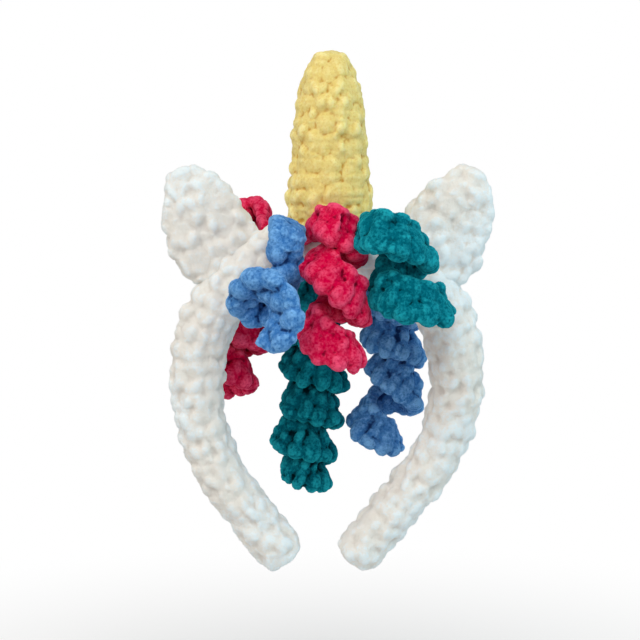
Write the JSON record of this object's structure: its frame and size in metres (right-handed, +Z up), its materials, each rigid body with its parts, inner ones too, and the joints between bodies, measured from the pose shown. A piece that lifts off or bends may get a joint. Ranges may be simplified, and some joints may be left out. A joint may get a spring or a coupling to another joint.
{
  "type": "unicorn horn headband",
  "caption": "Crocheted headband with a stuffed unicorn horn, two upright leaf-shaped ears and a mane of corkscrew curls in front and behind.",
  "frame": {"origin": "where the underside of the band's crown rests on the top of the head", "axes": "+Z up, out of the head through the horn; the wearer's face towards -Y; +X to the right as seen from in front"},
  "size_m": [0.1573, 0.1188, 0.2499],
  "materials": {
    "white_yarn": "soft white chenille yarn, crocheted",
    "yellow_yarn": "soft pale yellow chenille yarn, crocheted",
    "pink_yarn": "soft deep pink chenille yarn, crocheted",
    "blue_yarn": "soft denim blue chenille yarn, crocheted",
    "green_yarn": "soft dark teal chenille yarn, crocheted"
  },
  "bodies": {
    "root": {"band": "white_yarn", "horn": "yellow_yarn", "ear_left": "white_yarn", "ear_right": "white_yarn", "curl_front_pink": "pink_yarn", "curl_front_blue": "blue_yarn", "curl_front_green": "green_yarn", "curl_back_pink": "pink_yarn", "curl_back_green": "green_yarn", "curl_back_blue": "blue_yarn"}
  },
  "joints": []
}
